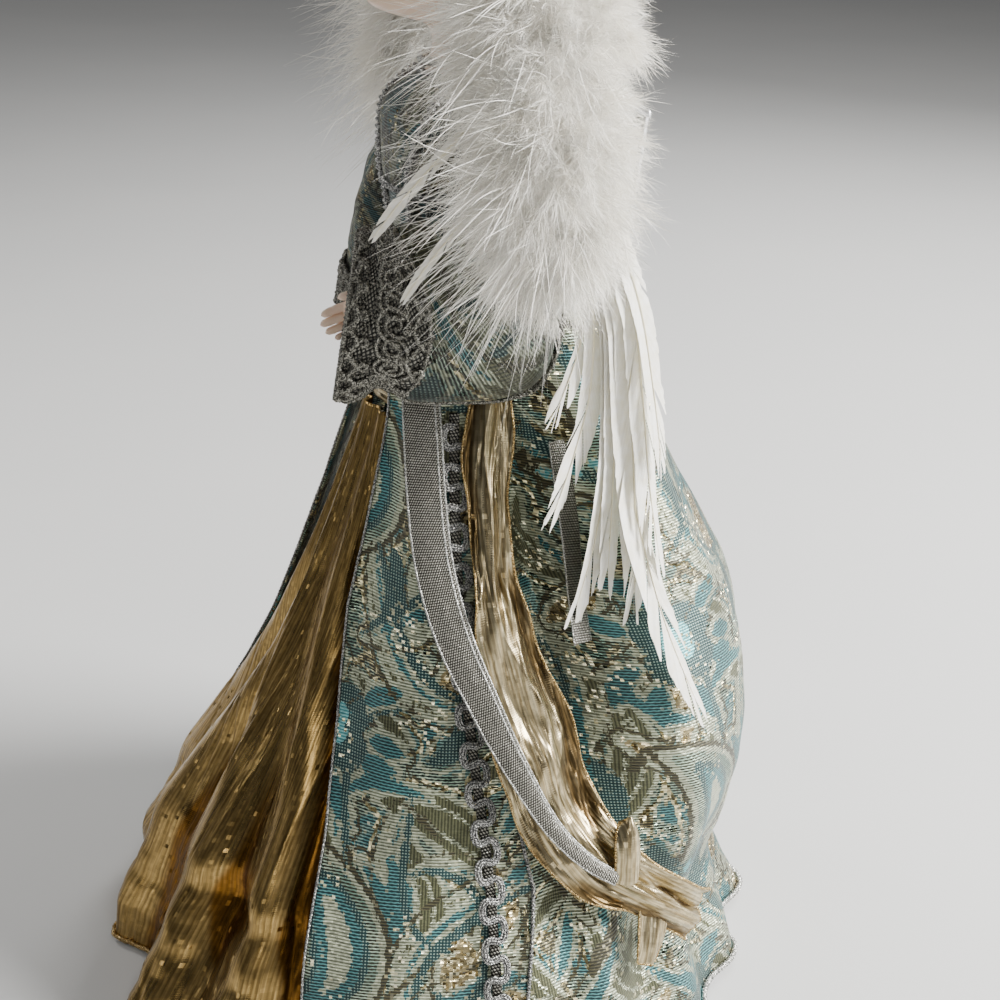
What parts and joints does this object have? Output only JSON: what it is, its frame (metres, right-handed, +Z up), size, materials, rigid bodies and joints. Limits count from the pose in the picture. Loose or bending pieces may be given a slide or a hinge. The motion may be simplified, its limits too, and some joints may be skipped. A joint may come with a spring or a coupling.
{
  "type": "angel figurine",
  "caption": "Robed angel doll standing on a hollow card cone, with gold front skirt, brocade cape and coat panels, posable arms in bell sleeves, and feather wings that swing on wire posts",
  "frame": {"origin": "middle of the bounding box's bottom, on the surface that the base rim stands on", "axes": "+Z up, the figure faces -Y, its left side is +X"},
  "size_m": [0.2218, 0.2184, 0.3875],
  "materials": {
    "card": "plain rolled card",
    "wood": "plain turned wood",
    "stuffed_cloth": "stuffed cotton",
    "brocade": "teal, sage and olive brocade with metal thread",
    "gold_lame": "crinkled gold lame",
    "silver_thread": "woven silver metal thread",
    "porcelain": "matte painted bisque",
    "hair": "brown fibre curls",
    "down": "white marabou down",
    "quill": "white hackle feathers",
    "steel_wire": "bright steel wire"
  },
  "bodies": {
    "figure": {"base_rim": "card", "base_cone": "card", "cone_plug": "wood", "centre_dowel": "wood", "torso_form": "stuffed_cloth", "bodice": "brocade", "waist_sash": "gold_lame", "shoulder_wire_left": "steel_wire", "stop_bead_left": "wood", "shoulder_wire_right": "steel_wire", "stop_bead_right": "wood", "head_shoulder_plate": "porcelain", "robe_yoke": "brocade", "collar_cord": "silver_thread", "wig": "hair", "back_cape": "brocade", "gold_front_panel": "gold_lame", "coat_panel_left": "brocade", "gimp_braid_left": "silver_thread", "coat_panel_right": "brocade", "gimp_braid_right": "silver_thread", "hem_cord_back": "silver_thread", "hem_cord_front": "gold_lame", "silver_ribbon": "silver_thread", "gold_ribbon": "gold_lame", "wing_plate": "wood", "wing_post_left": "steel_wire", "wing_post_right": "steel_wire"},
    "left_arm": {"arm_wire_left": "steel_wire", "forearm_hand_left": "porcelain", "bell_sleeve_left": "brocade", "sleeve_lace_left": "silver_thread"},
    "right_arm": {"arm_wire_right": "steel_wire", "forearm_hand_right": "porcelain", "bell_sleeve_right": "brocade", "sleeve_lace_right": "silver_thread"},
    "left_wing": {"wing_wire_left": "steel_wire", "wing_down_left": "down", "wing_plumes_left": "quill"},
    "right_wing": {"wing_wire_right": "steel_wire", "wing_down_right": "down", "wing_plumes_right": "quill"}
  },
  "joints": [
    {"name": "left_shoulder", "type": "hinge", "parent": "figure", "child": "left_arm", "pos_m": [0.03325, 0.00698, 0.276], "axis": [-1, 0, 0], "range_deg": [0, 35]},
    {"name": "right_shoulder", "type": "hinge", "parent": "figure", "child": "right_arm", "pos_m": [-0.03325, 0.00698, 0.276], "axis": [-1, 0, 0], "range_deg": [0, 45]},
    {"name": "left_wing_swing", "type": "hinge", "parent": "figure", "child": "left_wing", "pos_m": [0.01, 0.04558, 0.276], "axis": [0, 0, 1], "range_deg": [-4, 25]},
    {"name": "right_wing_swing", "type": "hinge", "parent": "figure", "child": "right_wing", "pos_m": [-0.01, 0.04558, 0.276], "axis": [0, 0, -1], "range_deg": [-2, 25]}
  ]
}
